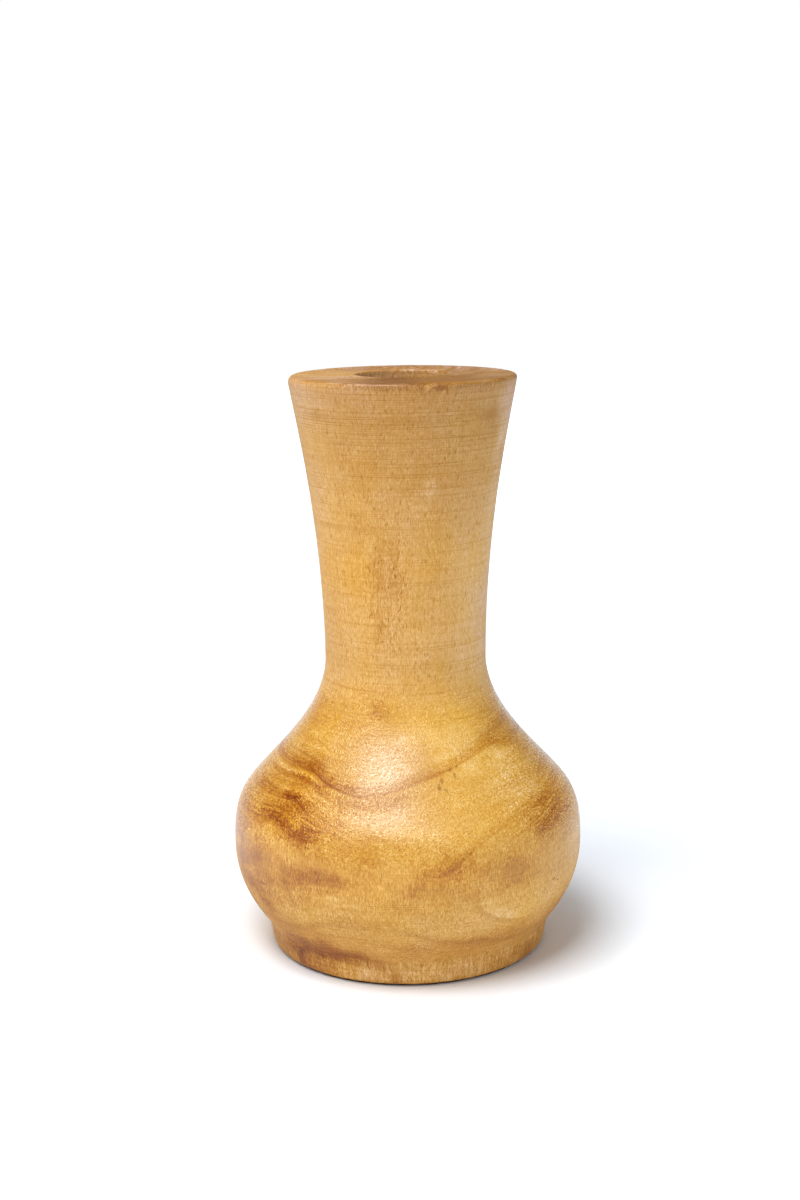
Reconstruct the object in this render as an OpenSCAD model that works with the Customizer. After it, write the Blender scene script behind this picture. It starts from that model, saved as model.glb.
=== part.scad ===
// Turned wooden vase: a bottle-shaped body of one block of wood with a drilled bore, a loose glass
// water tube that stands in the bore, and a thin felt disc under the foot.
// Millimetres. +Z is up, and the origin is on the turning axis, on the surface that the vase stands on.

/* [Heights of the body] */
// Upright wall of the foot, up to the cove
foot_rise = 10.2; // [6:0.1:16]
// From the cove up to the widest part of the belly
belly_rise = 35.5; // [26:0.1:50]
// From the widest part up to where the shoulder turns from bulging to hollow
shoulder_rise = 33; // [24:0.1:46]
// From there up to the narrowest part of the neck
collar_rise = 48.3; // [34:0.1:64]
// From the narrowest part up to the flat top of the rim
neck_rise = 122; // [80:1:170]

/* [Radii of the body] */
// Foot, at its lower edge
foot_r = 60.6; // [48:0.1:68]
// How far the foot's wall leans out by the time it reaches the cove
foot_flare = 1.5; // [0:0.1:4]
// Belly, at its widest
belly_r = 76.5; // [66:0.1:100]
// Shoulder, where it turns from bulging to hollow
shoulder_r = 63.3; // [50:0.1:66]
// Neck, at its narrowest
waist_r = 35; // [28:0.1:44]
// Rim
rim_r = 48.9; // [38:0.1:62]

/* [Directions of the curves] */
// Lean of the belly's underside where it leaves the cove, in degrees from upright
underside_lean = 31; // [15:1:50]
// Lean of the shoulder where it turns from bulging to hollow, in degrees from upright
shoulder_lean = 43; // [25:1:55]
// Lean of the neck where it meets the rim, in degrees from upright
rim_lean = 9; // [0:0.5:20]

/* [Edges of the body] */
// Rounding of the foot's lower edge
foot_edge_r = 0.9; // [0.3:0.1:3]
// Rounding inside the cove
cove_r = 4; // [1:0.5:8]
// Rounding of the rim's outer edge
rim_edge_r = 1.6; // [0.5:0.1:4]
// Rounding of the mouth's edge
mouth_edge_r = 0.8; // [0.3:0.1:3]

/* [Bore] */
// Radius of the drilled bore
bore_r = 20; // [14:0.1:26]
// Depth of the bore below the rim
bore_depth = 190; // [120:1:230]
// Radius of the pit that the drill's point leaves in the bore's floor
point_r = 2.5; // [1:0.1:5]
// Depth of that pit
point_depth = 2.4; // [1:0.1:5]

/* [Water tube] */
// Gap between the tube's lip and the bore
tube_clearance = 0.4; // [0.2:0.05:1]
// Thickness of the glass wall
glass_wall = 1.5; // [1:0.1:2.8]
// Thickness of the tube's floor
glass_floor = 3; // [1.5:0.1:6]
// How far the fire-rounded lip stands out from the wall
lip_out = 1.1; // [0.4:0.1:2.5]
// Rounding of the tube's lower edge
heel_r = 4; // [3:0.1:8]
// How far the lip lies below the rim of the vase
lip_drop = 7; // [2:0.5:20]

/* [Felt disc] */
// Thickness of the felt
felt_t = 1; // [0.5:0.1:3]
// How far the felt stays in from the edge of the foot
felt_inset = 1.5; // [0:0.1:6]

/* [Hidden] */
$fn = 96;

// Each curve's handles, lower end first, as shares of the height that the curve spans
underside_handle_shares = [0.19, 0.54];
shoulder_handle_shares = [0.57, 0.44];
collar_handle_shares = [0.26, 0.41];
neck_handle_shares = [0.48, 0.13];
// Straight steps along a curve, and along a rounded edge
curve_steps = 22;
edge_steps = 6;

// The stations of the outline, as [radius, height]
foot_point = [foot_r, felt_t];
cove_point = foot_point + [foot_flare, foot_rise];
belly_point = [belly_r, cove_point.y + belly_rise];
shoulder_point = [shoulder_r, belly_point.y + shoulder_rise];
waist_point = [waist_r, shoulder_point.y + collar_rise];
rim_point = [rim_r, waist_point.y + neck_rise];
mouth_point = [bore_r, rim_point.y];
bore_floor_z = rim_point.y - bore_depth;

// The tube's sizes that follow from the bore
lip_z = rim_point.y - lip_drop;
lip_r = (glass_wall + lip_out) / 2;
tube_r = bore_r - tube_clearance - lip_out;
tube_hollow_r = tube_r - glass_wall;

// Directions in the plane of the outline
up = [0, 1];
down = [0, -1];
outwards = [1, 0];
inwards = [-1, 0];
function leaning(angle) = [sin(angle), cos(angle)];
function unit(v) = v / norm(v);
function last(points) = points[len(points) - 1];

// Point at share t of the cubic curve with ends a and d and handles b and c
function curve_point(a, b, c, d, t) =
    pow(1 - t, 3) * a + 3 * t * pow(1 - t, 2) * b + 3 * t * t * (1 - t) * c + pow(t, 3) * d;

// Points after a, up to d, of the curve that leaves a along from_way and arrives at d along to_way
function curve(a, from_way, d, to_way, handle_shares) =
    let (
        rise = d.y - a.y,
        b = a + handle_shares[0] * rise * from_way,
        c = d - handle_shares[1] * rise * to_way
    )
    [for (i = [1:curve_steps]) curve_point(a, b, c, d, i / curve_steps)];

// Points of the arc of radius r round centre that starts at start and turns by angle
function arc(centre, start, angle) =
    [for (i = [0:edge_steps])
        let (a = angle * i / edge_steps, arm = start - centre)
        centre + [arm.x * cos(a) - arm.y * sin(a), arm.x * sin(a) + arm.y * cos(a)]];

// The corner at p, between the directions way_in and way_out, rounded to radius r
function rounded(p, way_in, way_out, r) =
    let (
        side = sign(way_in.x * way_out.y - way_in.y * way_out.x),
        angle = acos(way_in * way_out),
        start = p - r * tan(angle / 2) * way_in,
        centre = start + side * r * [-way_in.y, way_in.x]
    )
    arc(centre, start, side * angle);

// The body's outline: out under the foot, up the outside, in over the rim and down the bore
function body_outline() =
    let (
        foot_way = unit(cove_point - foot_point),
        underside_way = leaning(underside_lean),
        shoulder_way = leaning(-shoulder_lean),
        neck_way = leaning(rim_lean),
        cove = rounded(cove_point, foot_way, underside_way, cove_r),
        rim = rounded(rim_point, neck_way, inwards, rim_edge_r)
    )
    concat(
        [[0, foot_point.y]],
        rounded(foot_point, outwards, foot_way, foot_edge_r),
        cove,
        curve(last(cove), underside_way, belly_point, up, underside_handle_shares),
        curve(belly_point, up, shoulder_point, shoulder_way, shoulder_handle_shares),
        curve(shoulder_point, shoulder_way, waist_point, up, collar_handle_shares),
        curve(waist_point, up, rim[0], neck_way, neck_handle_shares),
        rim,
        rounded(mouth_point, inwards, down, mouth_edge_r),
        [[bore_r, bore_floor_z], [point_r, bore_floor_z], [0, bore_floor_z - point_depth]]
    );

// The tube's outline: out under its floor, up its wall, round the lip, and down to its inner floor
function tube_outline() =
    let (
        lip_centre = [tube_hollow_r + lip_r, lip_z - lip_r],
        lip_angle = acos((tube_r - lip_centre.x) / lip_r),
        lip_start = lip_centre + lip_r * [cos(lip_angle), -sin(lip_angle)],
        floor_point = [tube_hollow_r, bore_floor_z + glass_floor]
    )
    concat(
        [[0, bore_floor_z]],
        rounded([tube_r, bore_floor_z], outwards, up, heel_r),
        arc(lip_centre, lip_start, 180 + lip_angle),
        rounded(floor_point, down, inwards, heel_r - glass_wall),
        [[0, floor_point.y]]
    );

module turned_body() {
    color("burlywood")
        rotate_extrude()
            polygon(body_outline());
}

module water_tube() {
    color("lightcyan", 0.4)
        rotate_extrude()
            polygon(tube_outline());
}

module base_felt() {
    color([0.16, 0.11, 0.08])
        cylinder(h = felt_t, r = foot_r - felt_inset);
}

turned_body();
water_tube();
base_felt();
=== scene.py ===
"""Looks of the turned wooden vase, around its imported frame: the body in pale honey-coloured wood with
upright fibres, lathe lines and darker rings, the glass tube in its bore and the felt under its foot."""
import math

import bpy
import numpy as np
from mathutils import Matrix, Vector


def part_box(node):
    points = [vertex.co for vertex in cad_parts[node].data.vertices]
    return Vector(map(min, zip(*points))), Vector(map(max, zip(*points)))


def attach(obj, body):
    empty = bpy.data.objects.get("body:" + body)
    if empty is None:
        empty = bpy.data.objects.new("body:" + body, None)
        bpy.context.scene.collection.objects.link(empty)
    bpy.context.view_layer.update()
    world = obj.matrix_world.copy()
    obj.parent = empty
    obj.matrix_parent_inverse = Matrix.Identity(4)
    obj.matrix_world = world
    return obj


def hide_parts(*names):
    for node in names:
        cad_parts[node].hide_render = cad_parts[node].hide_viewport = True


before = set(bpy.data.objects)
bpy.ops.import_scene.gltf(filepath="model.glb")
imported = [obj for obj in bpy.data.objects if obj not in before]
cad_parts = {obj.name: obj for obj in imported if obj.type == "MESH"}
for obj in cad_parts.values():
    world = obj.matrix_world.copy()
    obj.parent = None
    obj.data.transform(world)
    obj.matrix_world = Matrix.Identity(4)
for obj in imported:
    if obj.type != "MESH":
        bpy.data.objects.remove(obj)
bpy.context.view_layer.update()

MM = 0.001

# Sizes of the turned body, as in the part
FELT_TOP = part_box("base_felt")[1].z
RIM_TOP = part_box("turned_body")[1].z
FOOT_RISE, BELLY_RISE, SHOULDER_RISE, COLLAR_RISE = 10.2 * MM, 35.5 * MM, 33 * MM, 48.3 * MM
FOOT_R, COVE_POINT_R, BELLY_R, SHOULDER_R = 60.6 * MM, 62.1 * MM, 76.5 * MM, 63.3 * MM
WAIST_R, RIM_R, BORE_R, PIT_R = 35 * MM, 48.9 * MM, 20 * MM, 2.5 * MM
UNDERSIDE_LEAN, SHOULDER_LEAN, RIM_LEAN = 31, 43, 9
FOOT_EDGE_R, COVE_R, RIM_EDGE_R, MOUTH_EDGE_R = 0.9 * MM, 4 * MM, 1.6 * MM, 0.8 * MM
BORE_DEPTH, PIT_DEPTH = 190 * MM, 2.4 * MM
UNDERSIDE_SHARES, SHOULDER_SHARES = (0.19, 0.54), (0.57, 0.44)
COLLAR_SHARES, NECK_SHARES = (0.26, 0.41), (0.48, 0.13)

# Sizes of the glass tube and of the felt disc
TUBE_FOOT, TUBE_TOP = (corner.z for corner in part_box("water_tube"))
TUBE_R, GLASS_WALL, GLASS_FLOOR, LIP_OUT, HEEL_R = 18.5 * MM, 1.5 * MM, 3 * MM, 1.1 * MM, 4 * MM
FELT_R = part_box("base_felt")[1].x

# Steps round the axis, and along the outline
BODY_TURNS, TUBE_TURNS = 240, 96
FINE_STEP, EDGE_STEP, LONG_STEP = 0.25 * MM, 0.4 * MM, 1.1 * MM
NECK_STEP, HIDDEN_STEP = 1.5 * MM, 5 * MM
# Points that lie closer than this become one, and edges that turn by more than this, in degrees, stay sharp
JOIN, SHARP = 0.01 * MM, 50

# Shallow grooves on the rim's top: how many, how their widths vary, how deep and how finely drawn; and the
# rounding of the felt's edges
GROOVES, GROOVE_RHYTHM, GROOVE_VARIETY, GROOVE_DEPTH, GROOVE_STEP = 13, 2.4, 0.35, 0.1 * MM, 0.5 * MM
FELT_EDGE_R = 0.15 * MM

# Wear, as (how deep, size of its waves), and how far each kind reaches: the body out of round and with tool
# waves, its rim softened, rubbed on one side and chipped, its foot ragged; the tube; and the felt
UNROUND, TOOL_WAVES, TOOL_WAVES_REACH = (0.3 * MM, 60 * MM), (0.12 * MM, 7 * MM), 130 * MM
SOFT_RIM, SOFT_RIM_REACH = (0.25 * MM, 9 * MM), 3 * MM
RUBBED_DEPTH, RUBBED_REACH, RUBBED_MIDDLE, RUBBED_SPAN = 0.7 * MM, 4 * MM, -75, 70
CHIP_DEPTH, CHIP_AT, CHIP_REACH, CHIPPED_RIM = 0.8 * MM, (13, -0.8 * MM), (4, 1.6 * MM), 4 * MM
RAGGED_FOOT, RAGGED_REACH = (0.5 * MM, 2 * MM), 1.6 * MM
UNEVEN_GLASS = (0.15 * MM, 14 * MM)
MATTED_FACE, WAVY_EDGE, WAVY_REACH = (0.2 * MM, 3 * MM), (0.5 * MM, 6 * MM), 2 * MM
EDGE_MARGIN = 2 * MM

UP, DOWN, OUTWARDS, INWARDS = Vector((0, 1)), Vector((0, -1)), Vector((1, 0)), Vector((-1, 0))

# The camera stands where the photograph was taken from
CAMERA_ASIDE, CAMERA_BACK, CAMERA_HEIGHT = -2.1 * MM, 752.7 * MM, 311.8 * MM
CAMERA_PITCH, CAMERA_ROLL = 11.96, 0.702
SENSOR, LENS = 36, 53.35

# Light: the lamp's degrees round from the front and up, distance, size and power; the even light from all
# round, what is added low down, what more of it comes from behind on the left and from the right and less
# from behind on the right; what a reflection of the room and of the backdrop shows; and the colour and the
# amounts in which the floor is lifted for the camera, near the vase and far off, and over which distances
KEY_LAMP = (-35, 65, 1.2, (0.66, 0.45), 11.8)
AMBIENT, LOW_LIGHT, LEFT_GAIN, RIGHT_GAIN, RIGHT_LOSS = 0.22, 0.69, 0.92, 0.55, 0.8
DARK_SIDE, BACKDROP = 0.05, 0.4
FLOOR_COLOUR, FLOOR_SIZE = (0.91, 0.95, 1, 1), 6
FLOOR_LIFT_COLOUR = (0.88, 0.97, 1.1, 1)
NEAR_LIFT, NEAR_REACH = 0.3, (0.07, 0.14)
FAR_LIFT, FAR_REACH = 0.6, (0.2, 1.5)


# Shader maths

class Wire:
    """A socket in a material, so that shader maths is written as an expression."""

    def __init__(self, tree, socket=None):
        self.tree, self.socket = tree, socket

    def node(self, kind, settings=None, inputs=None, output=0):
        """Adds a node: first its settings, then the values or links of its sockets. Gives one output."""
        node = self.tree.nodes.new("ShaderNode" + kind)
        for name, value in (settings or {}).items():
            if name == "stops":
                set_stops(node.color_ramp.elements, value)
            elif name == "points":
                set_points(node.mapping, value)
            else:
                setattr(node, name, value)
        for name, value in (inputs or {}).items():
            if isinstance(value, Wire):
                self.tree.links.new(value.socket, node.inputs[name])
            else:
                node.inputs[name].default_value = value
        return Wire(self.tree, node.outputs[output]) if node.outputs else None

    def maths(self, operation, *values):
        return self.node("Math", {"operation": operation}, dict(enumerate(values)))

    def __add__(self, other):
        return self.maths("ADD", self, other)

    def __sub__(self, other):
        return self.maths("SUBTRACT", self, other)

    def __rsub__(self, other):
        return self.maths("SUBTRACT", other, self)

    def __mul__(self, other):
        return self.maths("MULTIPLY", self, other)

    def __truediv__(self, other):
        return self.maths("DIVIDE", self, other)

    def __pow__(self, other):
        return self.maths("POWER", self, other)

    def __abs__(self):
        return self.maths("ABSOLUTE", self)

    __radd__, __rmul__ = __add__, __mul__

    def at_least(self, low):
        return self.maths("MAXIMUM", self, low)

    def clamped(self):
        return self.maths("MINIMUM", self.maths("MAXIMUM", self, 0), 1)

    def ramp(self, low, high):
        """0 below low, 1 above high and smooth between; high may be the lower of the two."""
        settings = {"interpolation_type": "SMOOTHSTEP"}
        if not isinstance(low, Wire) and not isinstance(high, Wire) and high < low:
            return 1 - self.ramp(high, low)
        return self.node("MapRange", settings, {"Value": self, "From Min": low, "From Max": high})


def set_stops(elements, stops):
    """Places a colour ramp's stops, given as (place, colour) from 0 to 1."""
    elements[0].position, elements[0].color = stops[0]
    elements[-1].position, elements[-1].color = stops[-1]
    for place, colour in stops[1:-1]:
        elements.new(place).color = colour


def set_points(mapping, points):
    """Places a curve's points, given as (x, y) from 0 to 1."""
    curve = mapping.curves[0]
    curve.points[0].location, curve.points[-1].location = points[0], points[-1]
    for place in points[1:-1]:
        curve.points.new(*place)
    mapping.update()


def tone(red, green, blue):
    """A colour that is written as it looks on a screen, from 0 to 255, as the shader wants it."""
    def linear(value):
        share = value / 255
        return share / 12.92 if share <= 0.04045 else ((share + 0.055) / 1.055) ** 2.4
    return (linear(red), linear(green), linear(blue), 1)


def grain(place, sizes, detail=2, roughness=0.5):
    """Noise from 0 to 1 over three coordinates, with features of these sizes along them."""
    x, y, z = (along / size for along, size in zip(place, sizes))
    scaled = x.node("CombineXYZ", None, {"X": x, "Y": y, "Z": z})
    values = {"Vector": scaled, "Scale": 1, "Detail": detail, "Roughness": roughness}
    return x.node("TexNoise", None, values)


def round_the_vase(angle, points, top=1):
    """A value drawn round the vase, as (degrees from the front, value)."""
    drawn = [((degrees + 180) / 360, value / top) for degrees, value in points]
    return angle.node("FloatCurve", {"points": drawn}, {"Value": (angle + 180) / 360}) * top


def oval(angle, height, centre, reach):
    """How far out in an oval a point lies: 0 at its centre and 1 at its reach, both (degrees, mm)."""
    across = (angle - centre[0]) / reach[0]
    upwards = (height - centre[1]) / reach[1]
    return (across * across + upwards * upwards) ** 0.5


def oval_marks(angle, height, ragged, places):
    """Soft oval marks, as (degrees, mm, reach in degrees, reach in mm, strength), added up. Most are
    stained patches, some are painted light and shade.
    """
    return sum(
        (oval(angle, height, (degrees, mm), (wide, tall)) + ragged).ramp(1.1, 0.2) * strength
        for degrees, mm, wide, tall, strength in places
    )


def ring_height(angle, places):
    """How high a growth ring runs, all round the vase."""
    return round_the_vase(angle, [(degrees, mm) for degrees, mm, _ in places], HIGHEST_RING)


def ring(angle, height, places, above, below):
    """A darker growth ring, and how far it fades out above and below."""
    rise = height - ring_height(angle, places)
    strength = round_the_vase(angle, [(degrees, strength) for degrees, _, strength in places])
    return rise.ramp(-below, 0) * rise.ramp(above, 0) * strength


def soaked(colour, amount, tint):
    """The colour under an amount of stain. A tint is what one whole amount leaves of each colour."""
    left = [colour.maths("POWER", share, amount) for share in tint]
    filter_colour = colour.node("CombineXYZ", None, dict(zip("XYZ", left)))
    return colour.node("VectorMath", {"operation": "MULTIPLY"}, {0: colour, 1: filter_colour})


def blank(name):
    """A new material with no nodes, and a wire to start its nodes from."""
    material = bpy.data.materials.new(name)
    material.use_nodes = True
    material.node_tree.nodes.clear()
    return material, Wire(material.node_tree)


def object_place(wire):
    """The three Object coordinates of a piece's surface, in mm."""
    place = wire.node("TexCoord", None, None, "Object")
    return [wire.node("SeparateXYZ", None, {0: place}, axis) * 1000 for axis in "XYZ"]


def surfaced(material, wire, rise, sockets):
    """Finishes a material: how far its surface stands up, in mm, and the shader's other sockets."""
    bump = wire.node("Bump", None, {"Strength": 1, "Distance": MM, "Height": rise})
    shader = wire.node("BsdfPrincipled", None, {**sockets, "Normal": bump})
    wire.node("OutputMaterial", None, {"Surface": shader})
    return material


# The figure of the wood. Each ring is drawn as (degrees from the front, mm over the floor, strength)
HIGHEST_RING = 130
MAIN_RING = (
    (-180, 92, 0.5), (-150, 94, 0.6), (-120, 90, 0.6), (-95, 87.8, 0.5), (-75, 87.3, 0.45),
    (-60, 87.6, 0.6), (-50, 88.1, 0.85), (-45, 87.9, 0.9), (-40, 86.7, 0.85), (-35, 85.3, 0.85),
    (-30, 84.2, 0.75), (-24, 83, 0.6), (-18, 82.5, 0.45), (-12, 83, 0.35), (-5, 84.8, 0.3),
    (3, 87.2, 0.32), (10, 89, 0.38), (20, 91.4, 0.4), (30, 94, 0.42), (40, 96, 0.45),
    (50, 97.3, 0.45), (57, 96.8, 0.2), (70, 96.3, 0.1), (90, 95.5, 0.5), (125, 96, 0.6),
    (155, 94, 0.6), (180, 92, 0.5),
)
TWIN_RING = (
    (-180, 87, 0.3), (-120, 86, 0.4), (-85, 84.6, 0.25), (-70, 84.2, 0.35), (-60, 84.5, 0.4),
    (-50, 84.6, 0.45), (-45, 84.2, 0.5), (-40, 83, 0.5), (-34, 81.8, 0.4), (-27, 80.6, 0.15),
    (-20, 80, 0.15), (-8, 81, 0.25), (3, 83, 0.2), (12, 82, 0), (34, 80.5, 0), (42, 81.6, 0.2),
    (55, 82.4, 0.35), (66, 82.6, 0.3), (76, 83, 0.2), (90, 83, 0.3), (120, 86, 0.3), (180, 87, 0.3),
)
UPPER_RING = (
    (-180, 101, 0.4), (-120, 98, 0.35), (-75, 92, 0.15), (-60, 92.2, 0.3), (-50, 92.2, 0.45),
    (-44, 91.6, 0.45), (-38, 91, 0.2), (-30, 91, 0), (-20, 94, 0), (10, 97, 0), (38, 99, 0.1),
    (45, 100.4, 0.3), (55, 101.4, 0.3), (65, 102.2, 0.35), (78, 103.2, 0.4), (90, 104, 0.4),
    (135, 103, 0.4), (180, 101, 0.4),
)
LOWER_RING = (
    (-180, 77, 0.4), (-120, 74.5, 0.3), (-85, 76.4, 0.2), (-70, 76.8, 0.25), (-57, 77.2, 0.25),
    (-51, 77.6, 0.3), (-46, 78, 0.3), (-43, 77, 0.3), (-40, 75.6, 0.25), (-36, 74, 0.2),
    (-33, 72.8, 0.2), (-27, 70.6, 0.1), (-20, 67.5, 0), (-5, 60, 0), (5, 55, 0), (11, 54, 0.08),
    (14, 56.3, 0.1), (18, 60.6, 0.15), (22, 64, 0.15), (26, 67, 0.2), (32, 70, 0.2), (40, 72, 0.25),
    (48, 73.5, 0.3), (55, 74.4, 0.3), (65, 75.5, 0.3), (80, 77, 0.3), (100, 79, 0.4),
    (140, 80, 0.5), (180, 77, 0.4),
)
BELLY_RING = (
    (-180, 65, 0.5), (-120, 66, 0.35), (-85, 66, 0.1), (-75, 66.4, 0.15), (-65, 67, 0.3),
    (-57, 68.2, 0.35), (-52, 69.4, 0.4), (-48, 68.4, 0.4), (-44, 67, 0.4), (-40, 65.6, 0.4),
    (-37, 64.8, 0.4), (-34, 65.2, 0.45), (-30, 66, 0.2), (-26, 65, 0), (-15, 60, 0), (-2, 52, 0),
    (8, 48, 0), (20, 50, 0), (30, 55, 0), (42, 61.5, 0), (47, 64, 0.3), (52, 65.8, 0.5),
    (57, 67.6, 0.35), (62, 69, 0.35), (68, 70.4, 0.2), (78, 70.2, 0.2), (84, 70, 0.2),
    (120, 68, 0.5), (180, 65, 0.5),
)
UNDERSIDE_RING = (
    (-180, 30, 0.4), (-90, 22, 0.2), (-60, 22, 0.2), (-38, 25, 0.25), (-30, 29, 0.25),
    (-20, 31, 0.25), (-5, 30, 0.25), (0, 28.6, 0.35), (5, 26.3, 0.4), (10, 23.6, 0.45),
    (20, 21.4, 0.55), (28, 20, 0.4), (35, 17.8, 0.25), (60, 20, 0.2), (80, 24, 0.3), (120, 32, 0.4),
    (180, 30, 0.4),
)
FOOT_RING = (
    (-180, 13, 0.6), (-120, 12, 0.3), (-85, 9, 0.3), (-68, 8.6, 0.5), (-60, 9, 0.6),
    (-52, 8.6, 0.6), (-48, 9.6, 0.8), (-45, 11.4, 0.9), (-40, 12.2, 0.9), (-36, 11.6, 0.8),
    (-30, 11.8, 0.8), (-25, 12.4, 0.85), (-20, 12.4, 0.75), (-15, 11.4, 0.55), (-12, 10.4, 0.6),
    (-9, 9, 0.45), (-5, 9, 0.1), (30, 7, 0.1), (60, 8, 0.15), (85, 10, 0.3), (120, 13, 0.5),
    (180, 13, 0.6),
)
# From the foot up, the rings between which the paler and darker layers of growth run
LAYERS = (FOOT_RING, UNDERSIDE_RING, BELLY_RING, LOWER_RING, MAIN_RING, UPPER_RING)
OUTER_LAYER = 14

# Stains, and in some rows painted light and shade, as (degrees, mm, reach in degrees, reach in mm,
# strength)
AMBER_STAINS = (
    (53.6, 41.2, 1, 0.9, 1.1), (56.4, 39.8, 0.8, 0.7, 0.9), (-45, 76.5, 10, 4, 0.35),
    (-52, 76, 26, 18, 0.26), (-39, 66, 9, 5, 0.5), (-30, 72, 11, 9, 0.3), (-47, 73.5, 12, 6.5, 0.3),
    (-47, 78.4, 6, 2.4, 0.5), (-41, 74, 5, 3.4, 0.3), (-54, 70.5, 9, 2.6, 0.35),
    (-45, 68.6, 6, 3, 0.35), (-42, 84, 12, 2.6, 0.25), (-10, 80.5, 13, 3.5, 0.25),
    (54, 69, 15, 8, 0.28), (64, 73, 14, 9, 0.1), (10, 53, 12, 7, 0.25), (15, 58, 7, 7, 0.3),
    (-17, 113, 9, 4.5, 0.25), (-66, 109, 30, 8, 0.12), (-20, 65, 30, 7, 0.16),
    (-55, 37, 20, 9, 0.3), (-30, 49, 14, 8, 0.15), (-5, 3, 3, 4.5, 0.4), (-40, 4, 12, 7, 0.3),
    (25, 20, 40, 7, 0.2), (68, 102, 26, 16, 0.15), (-36, 14, 26, 6, 0.4), (120, 74, 20, 7, 0.6),
    (165, 62, 16, 6, 0.5), (-130, 78, 20, 6, 0.6), (-150, 52, 18, 7, 0.4),
)
# Brown stained patches. The row at 10 degrees, 247.5 mm is painted shade along the front of the rim's edge,
# and the row at 72 degrees, 20 mm is painted shade low on the right of the underside, where it mirrors the
# floor in shadow
BROWN_STAINS_AND_PAINTED_SHADE = (
    (8, 47, 40, 7, 0.14), (34, 52, 13, 8, 0.5), (60, 60, 18, 8, 0.16), (-28, 50, 11, 7, 0.25),
    (-54, 46, 24, 14, 0.4), (-50, 22, 26, 13, 0.42), (-50, 4, 22, 9, 0.35),
    (-12, 164, 15, 26, 0.25), (-49, 236, 13, 3.5, 0.25), (50, 235, 13, 3, 0.25),
    (30, 226, 35, 6, 0.05), (5, 234, 25, 3, 0.1), (-32, 38, 14, 6, 0.2), (10, 247.5, 40, 1.5, 0.25),
    (18, 248, 4, 1.8, 0.7), (-49, 4, 2.4, 6, 0.6), (-41, 12, 9, 6, 0.45), (54, 5, 14, 7, 0.35),
    (72, 20, 22, 14, 0.35), (-42, 54, 45, 13, 0.3), (-32, 13.5, 20, 6, 0.45),
    (-74, 50, 20, 34, 0.45), (-72, 5, 18, 10, 0.4), (-48, 8, 12, 12, 0.2), (0, 212, 60, 12, 0.08),
    (7, 48, 12, 4, 0.12), (150, 170, 20, 18, 0.3), (-140, 200, 18, 15, 0.25),
    (110, 50, 14, 9, 0.35),
)
# Paler patches. The rows at 238 mm on both sides are painted light on the sides of the neck's top; the row
# at 66 degrees, 165 mm is partly paler wood and partly painted light on the right of the neck; the row at
# 24 degrees, 95 mm is a painted trail of the lamp's highlight, and the row at -5 degrees, 96 mm pales the
# wood where that highlight falls, as painted highlight
PALE_STAINS_AND_PAINTED_LIGHT = (
    (15, 207, 6, 6, 0.25), (-24, 43, 4, 2, 0.3), (-40, 57, 6, 6, 0.2), (55, 92, 12, 4, 0.15),
    (22, 80, 26, 12, 0.2), (30, 100, 26, 16, 0.3), (50, 84, 20, 11, 0.34), (40, 245, 30, 8, 0.1),
    (8, 68, 36, 9, 0.2), (22, 113, 40, 9, 0.15), (24, 95, 18, 9, 0.16), (-5, 96, 30, 13, 0.1),
    (10, 30, 36, 8, 0.12), (42, 36, 30, 10, 0.2), (5, 104, 20, 7, 0.2), (-30, 76, 12, 3, 0.2),
    (6, 6, 40, 8, 0.2), (66, 165, 46, 80, 0.28), (76, 205, 20, 40, 0.15), (-58, 205, 26, 26, 0.14),
    (40, 224, 26, 18, 0.1), (70, 48, 10, 16, 0.2), (11.5, 248, 1.4, 1.8, 0.4),
    (-64, 238, 34, 22, 0.25), (76, 238, 24, 22, 0.35),
)
# Grey specks and patches. The rows at about 250 mm are painted shade on the front and right of the rim's
# top, and the one at -104 degrees with a negative strength is a painted paler sheen on its left and back;
# the row at -9 degrees, 92 mm greys the wood where the lamp's highlight falls, as painted highlight
GREY_STAINS_AND_PAINTED_LIGHT = (
    (34, 250.4, 86, 3.2, 0.5), (-10, 250, 26, 3.2, 0.45), (-104, 250.4, 60, 2, -0.5),
    (-64, 137, 26, 24, 0.1), (-9, 92, 30, 24, 0.12), (13, 85.6, 1, 1.8, 0.7),
    (14.6, 87.6, 0.9, 1.4, 0.6), (15.4, 84.6, 0.9, 0.9, 0.6), (19.5, 91, 1, 1, 0.6),
    (21, 89, 1, 1.4, 0.6), (23.2, 91.6, 0.9, 1, 0.5), (-53, 41, 2.5, 0.7, 0.5),
    (30, 26, 1.2, 0.6, 0.5), (-133, 61, 1.5, 1, 0.8), (140, 105, 2, 1, 0.7),
)
# Golden patches. The row at 34 degrees, 250.4 mm deepens the painted shade on the rim's top; the row at -6
# degrees, 90 mm, with a negative strength, cools the wood where the lamp's highlight falls, as painted
# highlight; the row at 70 degrees, 20 mm is painted shade low on the right of the underside, where it
# mirrors the floor in shadow
GOLDEN_STAINS_AND_PAINTED_LIGHT = (
    (-72, 106, 28, 14, 0.7), (76, 106, 24, 16, 0.5), (76, 72, 22, 18, 0.7), (-52, 74, 28, 20, 0.4),
    (-44, 71, 14, 9, 0.8), (-47, 78.6, 8, 4, 0.6), (-42, 86, 18, 4, 0.6), (-34, 13, 24, 6, 0.8),
    (55, 66, 9, 6, 0.6), (76, 24, 16, 16, 0.8), (-48, 18, 34, 20, 0.5), (-70, 50, 26, 26, 0.5),
    (12, 54, 14, 9, 0.5), (-25, 210, 16, 16, 0.4), (-30, 172, 14, 16, 0.4), (70, 20, 24, 14, 0.6),
    (0, 110, 50, 10, 0.3), (-6, 90, 34, 24, -0.3), (34, 250.4, 86, 3.2, 0.8),
)
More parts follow.
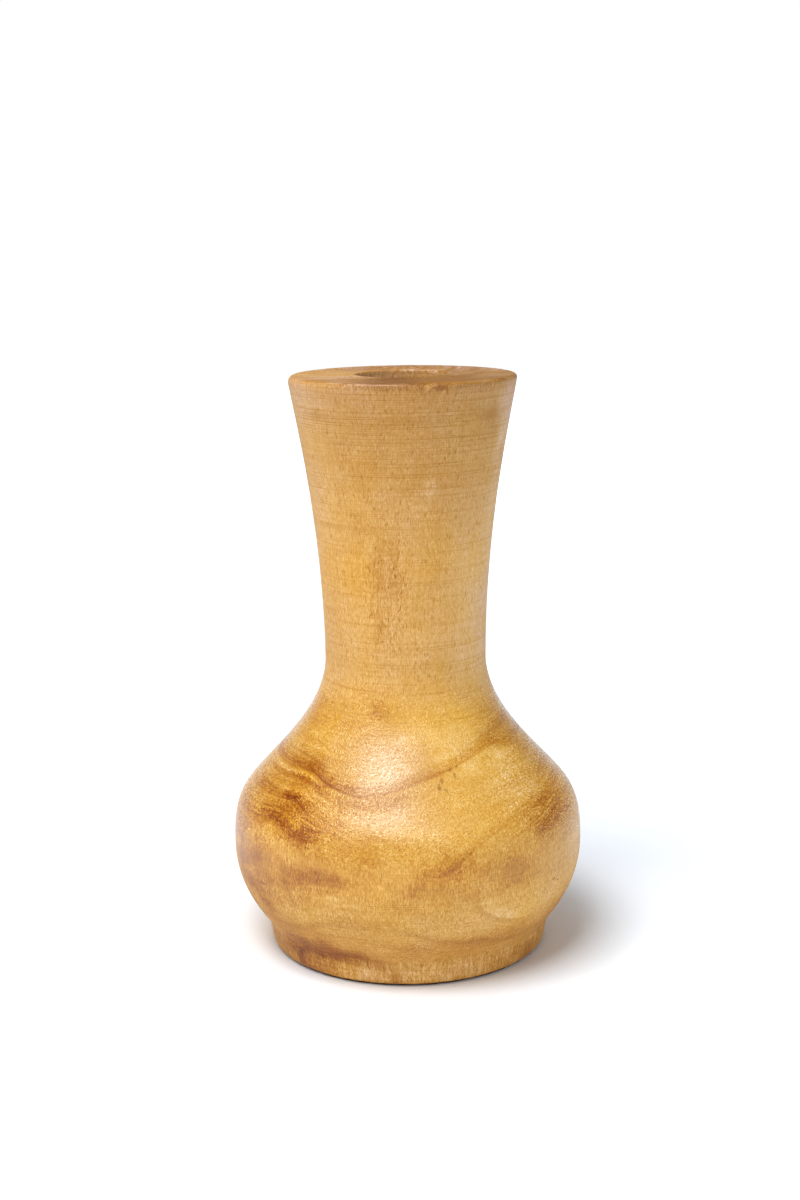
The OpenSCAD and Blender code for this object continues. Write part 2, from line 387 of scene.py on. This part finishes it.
# What each kind of stain, and the painted light and shade drawn with it, leaves of red, green and blue
# light, where it is at full strength
GOLDEN = (1, 0.93, 0.45)
AMBER, BROWN, GREY, SHADE = (0.52, 0.3, 0.06), (0.6, 0.44, 0.2), (0.5, 0.42, 0.42), (0.58, 0.37, 0.06)
# Where the middle of the tree was, in mm from the axis, and how thick a year of growth is
PITH, YEAR = (-21, 34), (2.2, 2.2)
# A patch on the front of the neck where the fibres are torn, as (degrees, mm), and its reach
ROUGH_PATCH, ROUGH_PATCH_REACH = (-12, 163), (22, 34)
# A pale crescent on the right of the belly: the oval that it follows, as (degrees, mm), and its reach
CRESCENT, CRESCENT_REACH = (46, 44), (24, 16)
# Sizes in mm, twice across and once up, of upright fibres, pores, leaning strokes, long streaks and short
# dark flecks; of clouds of a deeper and of a more golden colour; and of tool lines and the patches in which
# they show, along the outline. A year is counted out from the pith, and a band by layers of growth
FIBRE_SIZE, PORE_SIZE, STROKE_SIZE = (0.5, 0.5, 1.8), (0.9, 0.9, 0.9), (1.7, 1.7, 0.5)
STREAK_SIZE, FLECK_SIZE = (1.8, 1.8, 40), (0.9, 0.9, 3.6)
CLOUD_SIZE, HUE_SIZE = (12, 12, 14), (22, 22, 26)
LATHE_SIZE, LATHE_PATCH_SIZE = (60, 60, 0.34), (18, 18, 5)
YEARS_SIZE, BANDS_SIZE = (1, 40, 40), (30, 30, 1 / 9)
# Heights in mm over which the wood's zones set in or end: the oiled part's upper and lower end, where its
# surface is smoothest, the wall of the foot, the painted shade along its bottom edge, and the flat top of
# the rim
OIL_TOP, OIL_FOOT = (126, 108), (26, 60)
SMOOTH_TOP, SMOOTH_FOOT = (128, 112), (50, 64)
FOOT_WALL, PAINTED_CONTACT_SHADE, FLAT_RIM = (14, 10), (2.2, 1.2), (248.6, 249.4)
# Degrees to either side over which the figure at the back takes over
BACK = (85, 120)
# The two parts of the belly with the strongest figure, as (degrees, mm), and their reach
LEFT_FIGURE, LEFT_FIGURE_REACH = (-52, 80), (45, 28)
RIGHT_FIGURE, RIGHT_FIGURE_REACH = (60, 80), (34, 28)
# The two bands that are rubbed to a shine, as mm over the main ring, and where both end on the shoulder
SHINE_OVER, SHINE_UNDER, SHINE_END, SHINE_TOP = (-0.5, 4), (-4, -8), (-21, -16), (116, 104)
# The height in mm of a fine line that the tool cut round the left of the collar
TOOL_LINE = 120.3
# How far, in mm, fibres, pores and strokes stand up, and how deep tool lines and flecks lie
FIBRE_RISE, PORE_RISE, SMOOTH_PORE_RISE, STROKE_RISE = 0.02, 0.01, 0.08, 0.2
LINE_DEPTH, FLECK_DEPTH = 0.06, 0.03
# The bare wood from the foot up, as (share of the height, colour)
BARE_WOOD = (
    (0, tone(202, 147, 62)), (0.05, tone(198, 143, 58)), (0.12, tone(207, 153, 62)),
    (0.22, tone(210, 154, 58)), (0.36, tone(204, 151, 59)), (0.44, tone(205, 151, 56)),
    (0.5, tone(208, 158, 80)), (0.7, tone(208, 156, 76)), (0.94, tone(186, 136, 64)),
    (1, tone(182, 132, 66)),
)


def layers_of_growth(angle, z, fibre):
    """Which layer of growth lies at a height, counted from the foot up and followed from ring to ring."""
    heights = [ring_height(angle, places) for places in LAYERS]
    layer = sum(((z - low) / (high - low)).clamped() for low, high in zip(heights, heights[1:]))
    layer = layer + ((z - heights[-1]).at_least(0) - (heights[0] - z).at_least(0)) / OUTER_LAYER
    return layer + fibre * 0.05


def crescent_edge(angle, z, cloud):
    """The pale crescent on the right of the belly, and the darker line that runs round outside it."""
    edge = oval(angle, z + cloud * 3, CRESCENT, CRESCENT_REACH)
    inside = edge.ramp(1.03, 0.98) * edge.ramp(0.72, 0.97) * angle.ramp(52, 34) * z.ramp(54, 44)
    outside = edge.ramp(0.98, 1.03) * edge.ramp(1.16, 1.04) * angle.ramp(50, 32) * z.ramp(46, 38)
    return inside, outside


def wood(name):
    """Pale honey-coloured wood with upright fibres, turned, and oiled below the neck, with some light and
    shade painted into its colour.
    """
    material, start = blank(name)
    x, y, z = object_place(start)
    angle = start.maths("ARCTAN2", x, y * -1) * (180 / math.pi)
    outline = start.node("Attribute", {"attribute_name": "outline"}, None, "Fac")

    # Where the wood is oiled and where it is smoothest, the foot, the rim's top, the back and the figure
    oiled = z.ramp(*OIL_TOP) * z.ramp(*OIL_FOOT)
    smooth = z.ramp(*SMOOTH_TOP) * z.ramp(*SMOOTH_FOOT)
    foot = z.ramp(*FOOT_WALL)
    top = z.ramp(*FLAT_RIM)
    behind = angle.ramp(*BACK) + (angle * -1).ramp(*BACK)
    rough_patch = oval(angle, z, ROUGH_PATCH, ROUGH_PATCH_REACH).ramp(1, 0.2)
    left_figure = oval(angle, z, LEFT_FIGURE, LEFT_FIGURE_REACH).ramp(1, 0.5)
    right_figure = oval(angle, z, RIGHT_FIGURE, RIGHT_FIGURE_REACH).ramp(1, 0.5)
    figured = (left_figure + right_figure * 0.6 + behind).clamped()

    # Cells. The strokes lean with the main ring
    fibre = grain((x, y, z), FIBRE_SIZE, 2, 0.7) - 0.5
    pore = grain((x, y, z + 9.9), PORE_SIZE, 1, 0.7) - 0.5
    main_ring = ring_height(angle, MAIN_RING)
    stroke = grain((x, y, z - main_ring * 3), STROKE_SIZE, 3, 0.7) - 0.5
    streak = grain((x, y, z), STREAK_SIZE, 3, 0.6) - 0.5
    fleck = grain((x + 6.3, y, z), FLECK_SIZE, 2, 0.6).ramp(0.6, 0.68)

    # Clouds of a deeper and of a more golden colour, and the years of growth on the rim's top
    cloud = grain((x, y, z), CLOUD_SIZE, 4, 0.6) - 0.5
    hue = grain((x, y, z + 78), HUE_SIZE, 3, 0.6) - 0.5
    years = grain((oval(x, y, PITH, YEAR) + cloud, x, y), YEARS_SIZE, 2, 0.6) - 0.5
    bands = grain((x, y, layers_of_growth(angle, z, fibre)), BANDS_SIZE, 3, 0.6) - 0.5

    # Tool marks
    lathe = grain((x, y, outline), LATHE_SIZE, 1, 0.7) - 0.5
    patchy = grain((x, y, outline), LATHE_PATCH_SIZE).ramp(0.25, 0.6)
    strength = 0.35 + z.ramp(100, 125) * 0.2 + z.ramp(60, 46) * 0.3 + z.ramp(190, 215) * 0.3
    lines = (lathe.ramp(0.03, 0.16) * 0.36 + lathe * 0.3 - 0.08) * patchy * strength
    lines = lines + abs(z + cloud - TOOL_LINE).ramp(0.5, 0.1) * angle.ramp(0, -40) * 0.25

    # Rings, stained patches, and painted light and shade
    height = z + fibre * 2 + stroke * 2.5
    ragged = cloud * 1.2 + fibre * 0.7 + stroke * smooth * 1.4
    amber = oval_marks(angle, z, ragged, AMBER_STAINS)
    amber = amber + ring(angle, height, MAIN_RING, 4.6, 1.2) + ring(angle, height, LOWER_RING, 3, 2) * 0.7
    amber = amber + ring(angle, height, BELLY_RING, 5, 4) * 0.7
    amber = amber + ring(angle, height, TWIN_RING, 2.4, 2.4) * 0.6
    amber = amber * (1 - bands * 2.2 - fibre * 1.6)
    pale_edge, brown_edge = crescent_edge(angle, z, cloud)
    brown = oval_marks(angle, z, ragged, BROWN_STAINS_AND_PAINTED_SHADE)
    brown = brown + ring(angle, height, UPPER_RING, 3, 2)
    brown = brown + ring(angle, height, UNDERSIDE_RING, 4, 2.5) * 0.8
    brown = (brown + ring(angle, height, FOOT_RING, 7, 5) * 0.6) * (1 - bands * 1.5) + brown_edge * 0.28
    grey = oval_marks(angle, z, fibre * 1.5, GREY_STAINS_AND_PAINTED_LIGHT)
    golden = hue * 1.8 + oval_marks(angle, z, ragged, GOLDEN_STAINS_AND_PAINTED_LIGHT) - behind * 0.35
    pale = oval_marks(angle, z, ragged, PALE_STAINS_AND_PAINTED_LIGHT) + pale_edge * 0.14
    pale = pale + ring(angle, height + 1.7, MAIN_RING, 0.9, 0.9) * angle.ramp(-34, -44) * 0.5

    # What all of them do to the depth of the colour
    shade = lines + fleck * (0.42 - smooth * 0.24 + rough_patch * 0.4 + foot * 0.2) - pale
    shade = shade - fibre * (1.3 + z.ramp(70, 40) * 0.7 + figured + rough_patch * 0.5)
    shade = shade - pore * (0.2 + smooth * 0.8) - stroke * smooth * (1.4 + right_figure * 1.4)
    shade = shade - streak * (0.3 + foot * 1.2 + rough_patch * 0.6) - cloud * (0.3 + oiled * 0.1)
    # The last term is painted shade: the wood grows darker towards the foot's bottom edge, where it meets
    # the felt
    shade = shade - bands * z.ramp(122, 112) * (0.35 + figured * 0.7) + z.ramp(*PAINTED_CONTACT_SHADE) * 0.4
    shade = shade + top * (0.06 - years * 1.9 - lathe * 1.6 + cloud * 0.8)
    colour = start.node("ValToRGB", {"stops": BARE_WOOD}, {"Fac": z / (RIM_TOP / MM)})
    for amount, tint in ((amber, AMBER), (brown, BROWN), (grey, GREY), (shade, SHADE), (golden, GOLDEN)):
        colour = soaked(colour, amount, tint)

    # Shine, and what stands up or lies low
    over_ring = z + cloud * 2 - main_ring
    under_ring = over_ring.ramp(*SHINE_UNDER) * over_ring.ramp(*SHINE_END) * 0.8
    polished = (over_ring.ramp(*SHINE_OVER) + under_ring) * z.ramp(*SHINE_TOP) * (1 - left_figure)
    rise = fibre * FIBRE_RISE + pore * (PORE_RISE + smooth * SMOOTH_PORE_RISE)
    rise = rise + stroke * smooth * STROKE_RISE - lines * LINE_DEPTH - fleck * FLECK_DEPTH
    return surfaced(material, start, rise, {
        "Base Color": colour,
        "Roughness": 0.62 - oiled * (0.35 + (pore + stroke) * 0.5) - top * 0.22,
        "IOR": 1.5,
        "Specular IOR Level": 0.52,
        "Coat Weight": polished * (0.08 + (stroke + pore * 0.35).ramp(-0.12, 0.2) * 0.48),
        "Coat Roughness": 0.24,
        "Coat IOR": 1.65,
    })


# Glass: its tinge, the sizes in mm of draw lines and water marks, and how far, in mm, they stand up
GLASS_TINGE = (0.88, 0.96, 0.93, 1)
DRAW_LINE_SIZE, WATER_MARK_SIZE = (2, 2, 60), (4, 4, 9)
DRAW_LINE_RISE, WATER_MARK_RISE = 0.04, 0.003


def glass(name):
    """Clear drawn glass with a green tinge, faint draw lines and a dry film of water marks."""
    material, start = blank(name)
    x, y, z = object_place(start)
    drawn = grain((x, y, z), DRAW_LINE_SIZE)
    marks = grain((x, y, z), WATER_MARK_SIZE, 4, 0.65).ramp(0.52, 0.7)
    return surfaced(material, start, drawn * DRAW_LINE_RISE + marks * WATER_MARK_RISE, {
        "Base Color": GLASS_TINGE,
        "Roughness": 0.015 + marks * 0.12,
        "IOR": 1.5,
        "Transmission Weight": 1,
    })


# Felt: the colours of its wool, from the deepest fibres to the palest, the sizes in mm of the fibres that
# lie along, across and slanting and of the tufts, and how far, in mm, both stand up
WOOL = ((0, tone(12, 7, 4)), (0.5, tone(26, 16, 10)), (0.62, tone(42, 28, 20)), (1, tone(84, 62, 48)))
WOOL_ALONG, WOOL_ACROSS, WOOL_SLANTING = (2.4, 0.2, 0.2), (0.2, 2.4, 0.2), (2.8, 0.25, 0.2)
TUFT_SIZE = (5, 5, 5)
MATTED_RISE, TUFT_RISE = 0.5, 0.3


def felt(name):
    """Dark brown wool felt: matted fibres that lie every way, with paler ones among them."""
    material, start = blank(name)
    x, y, z = object_place(start)
    along = grain((x, y, z), WOOL_ALONG, 2, 0.7)
    across = grain((x, y, z + 1), WOOL_ACROSS, 2, 0.7)
    slanting = grain((x + y, x - y, z + 1.8), WOOL_SLANTING, 2, 0.7)
    matted = (along + across + slanting) / 3
    tufts = grain((x, y, z), TUFT_SIZE, 3, 0.6)
    return surfaced(material, start, matted * MATTED_RISE + tufts * TUFT_RISE, {
        "Base Color": start.node("ValToRGB", {"stops": WOOL}, {"Fac": matted + (tufts - 0.5) * 0.25}),
        "Roughness": 0.95,
        "Specular IOR Level": 0.1,
    })


# Modelling

def leaning(degrees):
    """Direction in the plane of the outline, as (radius, height), leaning outwards from upright."""
    return Vector((math.sin(math.radians(degrees)), math.cos(math.radians(degrees))))


def straight(start, end, step):
    """A straight stretch of outline, as a Bezier span and the step between its points."""
    return start, start.lerp(end, 1 / 3), start.lerp(end, 2 / 3), end, step


def curved(start, from_way, end, to_way, shares, step):
    """A curved stretch, whose handles are shares of the height that it spans."""
    rise = end.y - start.y
    return start, start + shares[0] * rise * from_way, end - shares[1] * rise * to_way, end, step


def rounded(corner, way_in, way_out, radius, step):
    """The rounding of a corner, as one span that follows an arc."""
    turn = way_in.angle(way_out)
    reach, handle = radius * math.tan(turn / 2), radius * math.tan(turn / 4) * 4 / 3
    start, end = corner - reach * way_in, corner + reach * way_out
    return start, start + handle * way_in, end - handle * way_out, end, step


def grooved(start, end):
    """The flat top of the rim, where the tool left shallow grooves of slightly different widths."""
    widths = [1 + GROOVE_VARIETY * math.sin(GROOVE_RHYTHM * number) for number in range(GROOVES)]
    places = [start.lerp(end, sum(widths[:number]) / sum(widths)) for number in range(GROOVES + 1)]
    sag = GROOVE_DEPTH * 4 / 3 * DOWN
    return [
        (first, first.lerp(second, 1 / 3) + sag, first.lerp(second, 2 / 3) + sag, second, GROOVE_STEP)
        for first, second in zip(places, places[1:])
    ]


def body_spans():
    """The body's outline: out under the foot, up the outside, in over the rim and down the bore."""
    foot = Vector((FOOT_R, FELT_TOP))
    cove_point = Vector((COVE_POINT_R, foot.y + FOOT_RISE))
    belly = Vector((BELLY_R, cove_point.y + BELLY_RISE))
    shoulder = Vector((SHOULDER_R, belly.y + SHOULDER_RISE))
    waist = Vector((WAIST_R, shoulder.y + COLLAR_RISE))
    rim_point = Vector((RIM_R, RIM_TOP))
    mouth_point = Vector((BORE_R, RIM_TOP))
    bore_corner = Vector((BORE_R, RIM_TOP - BORE_DEPTH))
    pit_corner = Vector((PIT_R, bore_corner.y))
    foot_way, underside_way = (cove_point - foot).normalized(), leaning(UNDERSIDE_LEAN)
    shoulder_way, neck_way = leaning(-SHOULDER_LEAN), leaning(RIM_LEAN)
    foot_edge = rounded(foot, OUTWARDS, foot_way, FOOT_EDGE_R, FINE_STEP)
    cove = rounded(cove_point, foot_way, underside_way, COVE_R, EDGE_STEP)
    rim = rounded(rim_point, neck_way, INWARDS, RIM_EDGE_R, FINE_STEP)
    mouth = rounded(mouth_point, INWARDS, DOWN, MOUTH_EDGE_R, FINE_STEP)
    return [
        straight(Vector((0, foot.y)), foot_edge[0], HIDDEN_STEP),
        foot_edge,
        straight(foot_edge[3], cove[0], LONG_STEP),
        cove,
        curved(cove[3], underside_way, belly, UP, UNDERSIDE_SHARES, LONG_STEP),
        curved(belly, UP, shoulder, shoulder_way, SHOULDER_SHARES, LONG_STEP),
        curved(shoulder, shoulder_way, waist, UP, COLLAR_SHARES, LONG_STEP),
        curved(waist, UP, rim[0], neck_way, NECK_SHARES, NECK_STEP),
        rim,
        *grooved(rim[3], mouth[0]),
        mouth,
        straight(mouth[3], bore_corner, HIDDEN_STEP),
        straight(bore_corner, pit_corner, HIDDEN_STEP),
        straight(pit_corner, Vector((0, bore_corner.y - PIT_DEPTH)), LONG_STEP),
    ]


def tube_spans():
    """The glass tube's outline: its floor, heel and wall, the fire-rounded lip, and the hollow inside."""
    hollow_r, lip_r = TUBE_R - GLASS_WALL, (GLASS_WALL + LIP_OUT) / 2
    centre = Vector((hollow_r + lip_r, TUBE_TOP - lip_r))
    side, crown, inside = centre + lip_r * OUTWARDS, centre + lip_r * UP, centre + lip_r * INWARDS
    neck = Vector((TUBE_R, centre.y - lip_r))
    heel = rounded(Vector((TUBE_R, TUBE_FOOT)), OUTWARDS, UP, HEEL_R, EDGE_STEP)
    floor_corner = Vector((hollow_r, TUBE_FOOT + GLASS_FLOOR))
    floor = rounded(floor_corner, DOWN, INWARDS, HEEL_R - GLASS_WALL, EDGE_STEP)
    return [
        straight(Vector((0, TUBE_FOOT)), heel[0], NECK_STEP),
        heel,
        straight(heel[3], neck, HIDDEN_STEP),
        rounded(Vector((side.x, neck.y)), OUTWARDS, UP, lip_r, FINE_STEP),
        rounded(Vector((side.x, crown.y)), UP, INWARDS, lip_r, FINE_STEP),
        rounded(Vector((inside.x, crown.y)), INWARDS, DOWN, lip_r, FINE_STEP),
        straight(inside, floor[0], HIDDEN_STEP),
        floor,
        straight(floor[3], Vector((0, floor[3].y)), NECK_STEP),
    ]


def deselect_all():
    bpy.ops.object.select_all(action="DESELECT")


def turned(name, spans, turns):
    """A piece turned on the lathe: its outline is drawn in Bezier spans, made a mesh and spun round the
    axis. The attribute outline says how far along the outline, in mm, each point lies."""
    deselect_all()
    bpy.ops.curve.primitive_bezier_curve_add(enter_editmode=True)
    drawing = bpy.context.object
    drawing.name = drawing.data.name = name
    for number, (start, first, second, end, step) in enumerate(spans):
        if number:
            bpy.ops.curve.primitive_bezier_curve_add()
        spline = drawing.data.splines[-1]
        spline.resolution_u = max(1, round((end - start).length / step))
        places = ((start, 2 * start - first, first), (end, second, 2 * end - second))
        for point, handles in zip(spline.bezier_points, places):
            point.handle_left_type = point.handle_right_type = "FREE"
            point.co, point.handle_left, point.handle_right = ((p.x, 0, p.y) for p in handles)
    bpy.ops.object.mode_set(mode="OBJECT")
    bpy.ops.object.convert(target="MESH")
    piece = bpy.context.object
    steps = np.linalg.norm(np.diff(points_of(piece), axis=0), axis=1)
    along = np.concatenate([[0], np.cumsum(steps)]) / MM
    piece.data.attributes.new("outline", "FLOAT", "POINT").data.foreach_set("value", along)
    bpy.ops.object.mode_set(mode="EDIT")
    bpy.ops.mesh.select_all(action="SELECT")
    bpy.ops.mesh.remove_doubles(threshold=JOIN)
    bpy.ops.mesh.spin(steps=turns, angle=2 * math.pi, center=(0, 0, 0), axis=(0, 0, 1))
    bpy.ops.mesh.select_all(action="SELECT")
    bpy.ops.mesh.remove_doubles(threshold=JOIN)
    bpy.ops.mesh.normals_make_consistent(inside=False)
    bpy.ops.object.mode_set(mode="OBJECT")
    bpy.ops.object.shade_smooth_by_angle(angle=math.radians(SHARP))
    return piece


def points_of(piece):
    """The places of a mesh's points, one row each."""
    places = np.zeros(len(piece.data.vertices) * 3)
    piece.data.vertices.foreach_get("co", places)
    return places.reshape(-1, 3)


def worn(piece, name, weights, depth, size=None):
    """Takes material off a piece by a weight from 0 to 1 for each point, times a depth. With a size it
    comes off in waves of that size."""
    group = piece.vertex_groups.new(name=name)
    steps = np.round(weights, 2)
    for weight in np.unique(steps[steps > 0]):
        group.add(np.flatnonzero(steps == weight).tolist(), float(weight), "REPLACE")
    wear = piece.modifiers.new(name, "DISPLACE")
    wear.vertex_group, wear.strength, wear.mid_level = name, -depth, 0
    if size:
        wear.texture = bpy.data.textures.new(name, "CLOUDS")
        wear.texture.noise_scale = size
        wear.texture_coords = "LOCAL"
    bpy.ops.object.modifier_apply(modifier=name)


def fading(distance, reach):
    """1 at no distance, and 0 from reach on, smooth between."""
    share = np.clip(1 - distance / reach, 0, 1)
    return share * share * (3 - 2 * share)


def make_body():
    """The turned body: out of round by a hair, its rim rubbed softer on the left and chipped in front, and
    its foot a little ragged where the fibres end."""
    body = turned("wood_body", body_spans(), BODY_TURNS)
    x, y, z = points_of(body).T
    radius, angle = np.hypot(x, y), np.degrees(np.arctan2(x, -y))
    outside = (radius > BORE_R + EDGE_MARGIN) & (z > FELT_TOP + JOIN)
    rim_corner = np.hypot(radius - RIM_R, z - RIM_TOP)
    foot_corner = np.hypot(radius - FOOT_R, z - FELT_TOP)
    rubbed_side = fading(np.abs(angle - RUBBED_MIDDLE), RUBBED_SPAN)
    worn(body, "out_of_round", outside * 1.0, *UNROUND)
    worn(body, "tool_waves", outside * fading(np.abs(z - RIM_TOP), TOOL_WAVES_REACH), *TOOL_WAVES)
    worn(body, "rubbed_rim", fading(rim_corner, RUBBED_REACH) * rubbed_side, RUBBED_DEPTH)
    worn(body, "soft_rim", fading(rim_corner, SOFT_RIM_REACH), *SOFT_RIM)
    chip = np.hypot((angle - CHIP_AT[0]) / CHIP_REACH[0], (z - RIM_TOP - CHIP_AT[1]) / CHIP_REACH[1])
    worn(body, "chip", fading(chip, 1) * (radius > RIM_R - CHIPPED_RIM), CHIP_DEPTH)
    worn(body, "ragged_foot", fading(foot_corner, RAGGED_REACH), *RAGGED_FOOT)
    body.data.materials.append(wood("turned_wood"))
    return body


def make_tube():
    """The glass tube, drawn slightly uneven."""
    tube = turned("glass_tube", tube_spans(), TUBE_TURNS)
    worn(tube, "uneven_glass", np.ones(len(tube.data.vertices)), *UNEVEN_GLASS)
    tube.data.materials.append(glass("tube_glass"))
    return tube


def felt_spans():
    """The felt disc's outline: out along its underside, up its die-cut edge, and back along its top."""
    lower = rounded(Vector((FELT_R, 0)), OUTWARDS, UP, FELT_EDGE_R, FINE_STEP)
    upper = rounded(Vector((FELT_R, FELT_TOP)), UP, INWARDS, FELT_EDGE_R, FINE_STEP)
    return [
        straight(Vector((0, 0)), lower[0], NECK_STEP),
        lower,
        straight(lower[3], upper[0], FINE_STEP),
        upper,
        straight(upper[3], Vector((0, FELT_TOP)), HIDDEN_STEP),
    ]


def make_felt():
    """The felt disc, with an uneven lower face and a soft wavy edge."""
    disc = turned("felt_disc", felt_spans(), BODY_TURNS)
    x, y, z = points_of(disc).T
    worn(disc, "matted_face", fading(z, FELT_TOP), *MATTED_FACE)
    worn(disc, "wavy_edge", fading(FELT_R - np.hypot(x, y), WAVY_REACH), *WAVY_EDGE)
    disc.data.materials.append(felt("base_felt_wool"))
    return disc


# The stage

def make_floor():
    """A plain pale floor that keeps the shadow and is lifted to white for the camera."""
    deselect_all()
    bpy.ops.mesh.primitive_plane_add(size=FLOOR_SIZE)
    floor = bpy.context.object
    floor.name = floor.data.name = "floor"
    material, start = blank("floor_paper")
    place = start.node("TexCoord", None, None, "Object")
    away = start.node("VectorMath", {"operation": "LENGTH"}, {0: place}, "Value")
    lift = away.ramp(*NEAR_REACH) * NEAR_LIFT + away.ramp(*FAR_REACH) * FAR_LIFT
    shader = start.node("BsdfPrincipled", None, {
        "Base Color": FLOOR_COLOUR,
        "Roughness": 1,
        "Specular IOR Level": 0,
        "Emission Color": FLOOR_LIFT_COLOUR,
        "Emission Strength": seen_directly(start, 1) * lift,
    })
    start.node("OutputMaterial", None, {"Surface": shader})
    floor.data.materials.append(material)


def seen_directly(wire, mirrored):
    """1 for rays of the camera and through glass, mirrored for reflections, and 0 for other light."""
    camera_ray = wire.node("LightPath", None, None, "Is Camera Ray")
    glossy_ray = wire.node("LightPath", None, None, "Is Glossy Ray")
    glass_ray = wire.node("LightPath", None, None, "Is Transmission Ray")
    return (camera_ray + glossy_ray * mirrored + glass_ray).clamped()


# Where each part of the world's light sets in, along the way that it comes from
LEFT_BEHIND, RIGHT, RIGHT_BEHIND, LOW = (0.2, 1.1), (0.4, 1), (1, 1.38), (0.7, 0.2)
BEHIND, NEAR_HORIZON = (0.25, 0.9), (0.45, 0.1)


def make_world():
    """The studio's even light, white for the camera and darker in reflections."""
    world = bpy.data.worlds.new("studio")
    bpy.context.scene.world = world
    world.use_nodes = True
    world.node_tree.nodes.clear()
    start = Wire(world.node_tree)
    way = start.node("TexCoord", None, None, "Generated")
    x, y, z = (start.node("SeparateXYZ", None, {0: way}, axis) for axis in "XYZ")
    gains = (y - x).ramp(*LEFT_BEHIND) * LEFT_GAIN + x.ramp(*RIGHT) * RIGHT_GAIN
    gains = gains - (x + y).ramp(*RIGHT_BEHIND) * RIGHT_LOSS
    falling = AMBIENT + z.ramp(*LOW) * (LOW_LIGHT + gains)
    mirrored = DARK_SIDE + y.ramp(*BEHIND) * z.ramp(*NEAR_HORIZON) * (BACKDROP - DARK_SIDE)
    glossy_ray = start.node("LightPath", None, None, "Is Glossy Ray")
    strength = falling + glossy_ray * (mirrored - falling)
    strength = strength + seen_directly(start, 0) * (1 - strength)
    shader = start.node("Background", None, {"Color": (1, 1, 1, 1), "Strength": strength})
    start.node("OutputWorld", None, {"Surface": shader})


def make_lamp(name, lamp_round, lamp_up, distance, size, power):
    """A soft lamp that is aimed at the vase's foot."""
    aim = Vector((0, 0, 1)) @ Matrix.Rotation(math.radians(lamp_up - 90), 3, "X")
    aim = Matrix.Rotation(math.radians(lamp_round), 3, "Z") @ aim
    bpy.ops.object.light_add(type="AREA", location=aim * distance)
    lamp = bpy.context.object
    lamp.name = lamp.data.name = name
    lamp.rotation_euler = aim.to_track_quat("Z", "Y").to_euler()
    lamp.data.shape = "RECTANGLE"
    lamp.data.size, lamp.data.size_y = size
    lamp.data.energy = power


def make_camera():
    """The camera that took the photograph: its place, its tilt and its roll."""
    bpy.ops.object.camera_add()
    camera = bpy.context.object
    camera.name = camera.data.name = "camera"
    camera.data.sensor_width, camera.data.lens = SENSOR, LENS
    eye = Matrix.Translation((CAMERA_ASIDE, -CAMERA_BACK, CAMERA_HEIGHT))
    tilt = Matrix.Rotation(math.radians(90 - CAMERA_PITCH), 4, "X")
    roll = Matrix.Rotation(math.radians(-CAMERA_ROLL), 4, "Z")
    camera.matrix_world = eye @ tilt @ roll
    bpy.context.scene.camera = camera


body, tube, disc = make_body(), make_tube(), make_felt()
for piece, node, rides, slot in (
    (body, "turned_body", "vase", "wood"),
    (tube, "water_tube", "liner", "glass"),
    (disc, "base_felt", "vase", "felt"),
):
    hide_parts(node)
    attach(piece, rides)

make_floor()
make_world()
make_lamp("key_lamp", *KEY_LAMP)
make_camera()
bpy.context.scene.view_settings.view_transform = "Standard"
